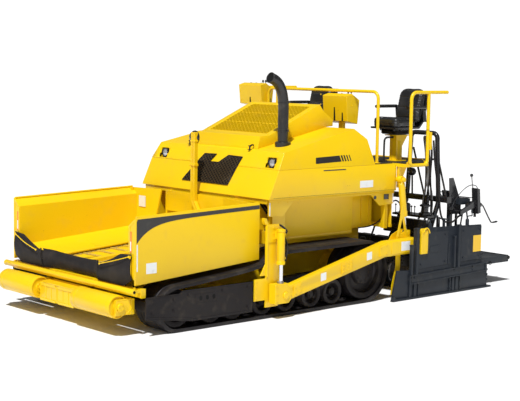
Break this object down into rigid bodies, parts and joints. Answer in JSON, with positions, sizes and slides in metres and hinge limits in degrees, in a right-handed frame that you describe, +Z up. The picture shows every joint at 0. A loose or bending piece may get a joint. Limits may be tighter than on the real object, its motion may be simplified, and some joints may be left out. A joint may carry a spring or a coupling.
{
  "type": "tracked asphalt paver",
  "caption": "Tracked road paver with a folding-wing hopper, slanted engine hood, raised operator's deck and a towed floating screed with sliding extensions.",
  "frame": {"origin": "on the ground, under the centre of the machine's overall box", "axes": "+X forward towards the hopper, +Y to the machine's left, +Z up"},
  "size_m": [7, 3.2, 3.0447],
  "materials": {
    "yellow_paint": "gloss",
    "black_paint": "satin",
    "rubber": "matte",
    "bare_steel": "worn",
    "chrome": "polished",
    "vinyl": "semi-gloss"
  },
  "bodies": {
    "tractor": {"main_frame": "yellow_paint", "engine_hood": "yellow_paint", "upper_hood": "yellow_paint", "operator_deck": "yellow_paint", "side_frame_left": "yellow_paint", "side_frame_right": "yellow_paint", "guard_rail_left": "yellow_paint", "guard_rail_right": "yellow_paint", "undercarriage_left": "black_paint", "undercarriage_right": "black_paint", "track_guard_left": "black_paint", "track_guard_right": "black_paint", "engine": "black_paint", "front_grille": "black_paint", "exhaust_stack": "black_paint", "centre_mast": "yellow_paint", "front_handrail": "yellow_paint", "side_console": "yellow_paint", "tow_post_left": "yellow_paint", "tow_post_right": "yellow_paint", "auger_carrier": "black_paint", "track_left": "rubber", "track_right": "rubber", "centre_flap": "rubber", "conveyor_floor": "yellow_paint"},
    "grille_lid": {"grille_lid": "yellow_paint"},
    "hopper_wing_left": {"hopper_wing_left": "yellow_paint", "wing_flap_left": "rubber"},
    "hopper_wing_right": {"hopper_wing_right": "yellow_paint", "wing_flap_right": "rubber"},
    "push_beam": {"push_beam": "yellow_paint"},
    "push_roller_left": {"push_roller_left": "yellow_paint"},
    "push_roller_right": {"push_roller_right": "yellow_paint"},
    "tow_slider_left": {"tow_slider_left": "yellow_paint"},
    "tow_slider_right": {"tow_slider_right": "yellow_paint"},
    "screed": {"tow_arm_left": "yellow_paint", "tow_arm_right": "yellow_paint", "main_screed": "black_paint", "hose_frame": "black_paint"},
    "extension_left": {"screed_extension_left": "black_paint", "end_gate_left": "black_paint"},
    "extension_right": {"screed_extension_right": "black_paint", "end_gate_right": "black_paint"},
    "auger_left": {"auger_left": "bare_steel"},
    "auger_right": {"auger_right": "bare_steel"},
    "lift_barrel_left": {"lift_barrel_left": "yellow_paint"},
    "lift_barrel_right": {"lift_barrel_right": "yellow_paint"},
    "lift_rod_left": {"lift_rod_left": "chrome"},
    "lift_rod_right": {"lift_rod_right": "chrome"},
    "seat_left": {"seat_left": "vinyl"},
    "seat_right": {"seat_right": "vinyl"}
  },
  "joints": [
    {"name": "lid_hinge", "type": "hinge", "parent": "tractor", "child": "grille_lid", "pos_m": [-0.545, 0, 2.345], "axis": [0, -1, 0], "range_deg": [0, 50]},
    {"name": "wing_fold_left", "type": "hinge", "parent": "tractor", "child": "hopper_wing_left", "pos_m": [3.1, 0.62, 0.69], "axis": [0.9972, 0, -0.0748], "range_deg": [0, 55]},
    {"name": "wing_fold_right", "type": "hinge", "parent": "tractor", "child": "hopper_wing_right", "pos_m": [3.1, -0.62, 0.69], "axis": [-0.9972, 0, 0.0748], "range_deg": [0, 55]},
    {"name": "push_beam_swivel", "type": "hinge", "parent": "tractor", "child": "push_beam", "pos_m": [3.138, 0, 0.355], "axis": [0, 0, 1], "range_deg": [-3, 3]},
    {"name": "push_roller_spin_left", "type": "hinge", "parent": "push_beam", "child": "push_roller_left", "pos_m": [3.365, 0.82, 0.355], "axis": [0, 1, 0], "continuous": true},
    {"name": "push_roller_spin_right", "type": "hinge", "parent": "push_beam", "child": "push_roller_right", "pos_m": [3.365, -0.82, 0.355], "axis": [0, 1, 0], "continuous": true},
    {"name": "tow_point_left", "type": "slide", "parent": "tractor", "child": "tow_slider_left", "axis": [0, 0, 1], "range_m": [-0.12, 0.2]},
    {"name": "tow_point_right", "type": "slide", "parent": "tractor", "child": "tow_slider_right", "axis": [0, 0, 1], "range_m": [-0.12, 0.2]},
    {"name": "screed_lift", "type": "hinge", "parent": "tow_slider_left", "child": "screed", "pos_m": [1.09, 0, 0.3], "axis": [0, 1, 0], "range_deg": [0, 4.2]},
    {"name": "extension_slide_left", "type": "slide", "parent": "screed", "child": "extension_left", "axis": [0, 1, 0], "range_m": [0, 1.15]},
    {"name": "extension_slide_right", "type": "slide", "parent": "screed", "child": "extension_right", "axis": [0, -1, 0], "range_m": [0, 1.15]},
    {"name": "auger_spin_left", "type": "hinge", "parent": "tractor", "child": "auger_left", "pos_m": [-1.38, 0.75, 0.36], "axis": [0, 1, 0], "continuous": true},
    {"name": "auger_spin_right", "type": "hinge", "parent": "tractor", "child": "auger_right", "pos_m": [-1.38, -0.75, 0.36], "axis": [0, 1, 0], "continuous": true},
    {"name": "lift_barrel_swing_left", "type": "hinge", "parent": "tractor", "child": "lift_barrel_left", "pos_m": [-1.185, 1.4, 1.617], "axis": [0, 1, 0], "range_deg": [-2.66, 0.2]},
    {"name": "lift_rod_slide_left", "type": "slide", "parent": "lift_barrel_left", "child": "lift_rod_left", "axis": [0.1429, 0, 0.9897], "range_m": [0, 0.1795]},
    {"name": "lift_barrel_swing_right", "type": "hinge", "parent": "tractor", "child": "lift_barrel_right", "pos_m": [-1.185, -1.4, 1.617], "axis": [0, 1, 0], "range_deg": [-2.66, 0.2]},
    {"name": "lift_rod_slide_right", "type": "slide", "parent": "lift_barrel_right", "child": "lift_rod_right", "axis": [0.1429, 0, 0.9897], "range_m": [0, 0.1795]},
    {"name": "seat_swivel_left", "type": "hinge", "parent": "tractor", "child": "seat_left", "pos_m": [-1.5, 1, 2.12], "axis": [0, 0, 1], "range_deg": [-45, 45]},
    {"name": "seat_swivel_right", "type": "hinge", "parent": "tractor", "child": "seat_right", "pos_m": [-1.5, -0.8, 2.12], "axis": [0, 0, 1], "range_deg": [-45, 45]}
  ],
  "couplings": [
    {"joint": "tow_point_right", "follows": "tow_point_left", "ratio": 1},
    {"joint": "lift_barrel_swing_left", "follows": "screed_lift", "ratio": -0.5978},
    {"joint": "lift_rod_slide_left", "follows": "screed_lift", "m_per_rad": 2.4215},
    {"joint": "lift_barrel_swing_right", "follows": "screed_lift", "ratio": -0.5978},
    {"joint": "lift_rod_slide_right", "follows": "screed_lift", "m_per_rad": 2.4215}
  ]
}
